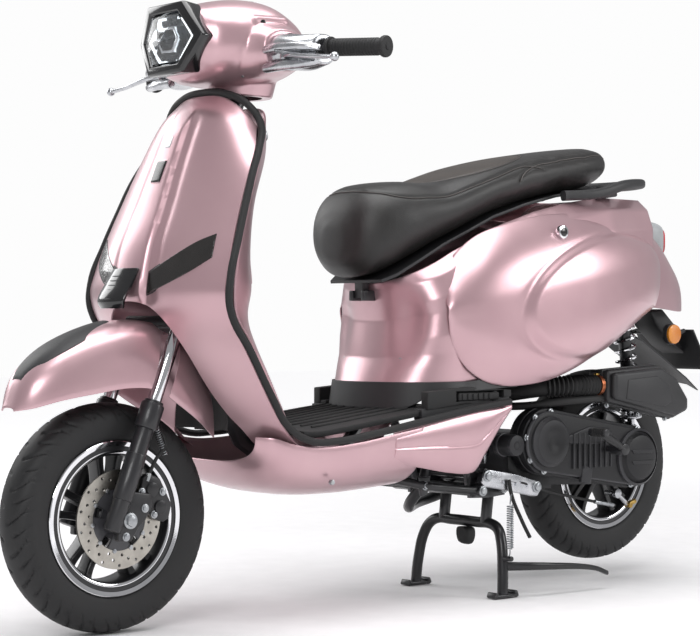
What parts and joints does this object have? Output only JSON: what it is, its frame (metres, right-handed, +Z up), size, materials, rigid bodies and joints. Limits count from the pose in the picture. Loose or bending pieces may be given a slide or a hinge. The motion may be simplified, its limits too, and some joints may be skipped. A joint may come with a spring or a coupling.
{
  "type": "moped scooter",
  "caption": "Step-through moped scooter on its centre stand: leg shield, flat floor, twin saddle, swinging engine unit, telescopic fork.",
  "frame": {"origin": "on the ground under the middle of the scooter's outer box", "axes": "+X to the rider's left, +Y rearward, +Z up; the scooter faces -Y"},
  "size_m": [0.7466, 1.837, 1.1993],
  "materials": {
    "paint": "satin metallic rose paint",
    "black_plastic": "grained moulded plastic",
    "gloss_black": "gloss",
    "rubber": "matt",
    "tyre": "matt",
    "vinyl": "grained vinyl",
    "black_metal": "black satin paint",
    "steel_tube": "black satin paint",
    "cast": "cast",
    "steel": "ground",
    "chrome": "polished",
    "amber": "clear",
    "smoke": "smoked lens",
    "red": "clear",
    "clear": "clear",
    "liner": "matt"
  },
  "bodies": {
    "chassis": {"frame": "steel_tube", "leg_shield": "paint", "inner_leg_shield": "paint", "edge_trim": "rubber", "horn_cover": "gloss_black", "front_signal_left": "smoke", "front_signal_right": "smoke", "wheel_arch_liner": "liner", "lower_fairing": "paint", "floorboard": "rubber", "rear_body": "paint", "side_cowl_left": "paint", "side_cowl_right": "paint", "tail_cover": "paint", "tail_light": "red", "grab_rail": "black_plastic", "storage_bucket": "black_plastic", "fuel_tank": "black_plastic", "rear_mudguard": "black_plastic", "plate_bracket": "black_plastic", "side_reflectors": "amber"},
    "steering": {"fork_upper": "chrome", "handlebar_tube": "black_metal", "headset_cover": "paint", "headlight_bezel": "black_plastic", "headlight_lens": "clear", "speedometer": "gloss_black", "switch_housing_left": "cast", "switch_housing_right": "cast", "grip_left": "rubber", "front_fender": "paint"},
    "fork_lower": {"fork_lowers": "black_metal", "brake_caliper": "black_metal"},
    "front_wheel": {"front_tyre": "tyre", "front_rim": "black_metal", "brake_disc": "steel"},
    "throttle": {"grip_right": "rubber"},
    "lever_left": {"brake_lever_left": "cast"},
    "lever_right": {"brake_lever_right": "cast"},
    "horn_switch": {"horn_button": "amber"},
    "start_switch": {"start_button": "red"},
    "seat": {"seat_cushion": "vinyl", "seat_base": "black_plastic"},
    "peg_left": {"passenger_peg_left": "rubber"},
    "peg_right": {"passenger_peg_right": "rubber"},
    "engine": {"crankcase": "black_metal", "belt_case_cover": "black_metal", "cylinder": "cast", "air_filter_box": "black_plastic", "intake_duct": "rubber", "exhaust": "black_metal"},
    "kick_starter": {"kick_lever": "steel_tube"},
    "brake_arm": {"rear_brake_arm": "cast"},
    "rear_wheel": {"rear_tyre": "tyre", "rear_rim": "black_metal"},
    "shock_top": {"shock_upper": "black_metal", "shock_spring": "steel"},
    "shock_rod": {"shock_lower": "cast"},
    "stand": {"centre_stand": "steel_tube", "stand_spring": "steel"}
  },
  "joints": [
    {"name": "steering_turn", "type": "hinge", "parent": "chassis", "child": "steering", "pos_m": [0, -0.46335, 0.83447], "axis": [0, 0.3746, 0.9272], "range_deg": [-35, 35]},
    {"name": "front_suspension", "type": "slide", "parent": "steering", "child": "fork_lower", "axis": [0, 0.3746, 0.9272], "range_m": [0, 0.06], "stiffness_N_per_m": 9000, "springref_m": -0.05},
    {"name": "front_wheel_spin", "type": "hinge", "parent": "fork_lower", "child": "front_wheel", "pos_m": [0, -0.7055, 0.215], "axis": [1, 0, 0], "continuous": true},
    {"name": "throttle_twist", "type": "hinge", "parent": "steering", "child": "throttle", "pos_m": [-0.3, -0.35038, 1.08128], "axis": [0.9649, -0.2545, 0.0646], "range_deg": [0, 75], "stiffness_Nm_per_rad": 0.3},
    {"name": "brake_lever_left_pull", "type": "hinge", "parent": "steering", "child": "lever_left", "pos_m": [0.204, -0.4375, 1.066], "axis": [0, 0, 1], "range_deg": [0, 18], "stiffness_Nm_per_rad": 2, "springref_deg": -5.73},
    {"name": "brake_lever_right_pull", "type": "hinge", "parent": "steering", "child": "lever_right", "pos_m": [-0.204, -0.4375, 1.066], "axis": [0, 0, -1], "range_deg": [0, 18], "stiffness_Nm_per_rad": 2, "springref_deg": -5.73},
    {"name": "horn_press", "type": "slide", "parent": "steering", "child": "horn_switch", "axis": [0, -1, 0], "range_m": [0, 0.002], "stiffness_N_per_m": 600},
    {"name": "start_press", "type": "slide", "parent": "steering", "child": "start_switch", "axis": [0, -1, 0], "range_m": [0, 0.002], "stiffness_N_per_m": 600},
    {"name": "seat_open", "type": "hinge", "parent": "chassis", "child": "seat", "pos_m": [0, -0.0755, 0.634], "axis": [1, 0, 0], "range_deg": [0, 72]},
    {"name": "peg_left_fold", "type": "hinge", "parent": "chassis", "child": "peg_left", "pos_m": [0.1735, 0.138, 0.426], "axis": [0, 0, 1], "range_deg": [0, 85]},
    {"name": "peg_right_fold", "type": "hinge", "parent": "chassis", "child": "peg_right", "pos_m": [-0.1735, 0.138, 0.426], "axis": [0, 0, -1], "range_deg": [0, 85]},
    {"name": "engine_swing", "type": "hinge", "parent": "chassis", "child": "engine", "pos_m": [0, 0.1665, 0.256], "axis": [1, 0, 0], "range_deg": [0, 8.5], "stiffness_Nm_per_rad": 1500, "springref_deg": -5.73},
    {"name": "kick_start", "type": "hinge", "parent": "engine", "child": "kick_starter", "pos_m": [0.18, 0.5025, 0.302], "axis": [1, 0, 0], "range_deg": [0, 45], "stiffness_Nm_per_rad": 3, "springref_deg": -17.19},
    {"name": "rear_brake_pull", "type": "hinge", "parent": "engine", "child": "brake_arm", "pos_m": [0.1, 0.5865, 0.196], "axis": [-1, 0, 0], "range_deg": [0, 18], "stiffness_Nm_per_rad": 2, "springref_deg": -11.46},
    {"name": "rear_wheel_spin", "type": "hinge", "parent": "engine", "child": "rear_wheel", "pos_m": [0, 0.6145, 0.255], "axis": [1, 0, 0], "continuous": true},
    {"name": "shock_tilt", "type": "hinge", "parent": "chassis", "child": "shock_top", "pos_m": [0.075, 0.6295, 0.608], "axis": [1, 0, 0], "range_deg": [-6, 6]},
    {"name": "shock_slide", "type": "slide", "parent": "shock_top", "child": "shock_rod", "axis": [0, -0.1231, 0.9924], "range_m": [0, 0.085], "deforming": ["shock_spring"]},
    {"name": "stand_fold", "type": "hinge", "parent": "chassis", "child": "stand", "pos_m": [0, 0.2275, 0.226], "axis": [1, 0, 0], "range_deg": [0, 60], "deforming": ["stand_spring"]}
  ],
  "couplings": [
    {"joint": "shock_tilt", "follows": "engine_swing", "ratio": -0.05908},
    {"joint": "shock_slide", "follows": "engine_swing", "m_per_rad": 0.50282}
  ]
}
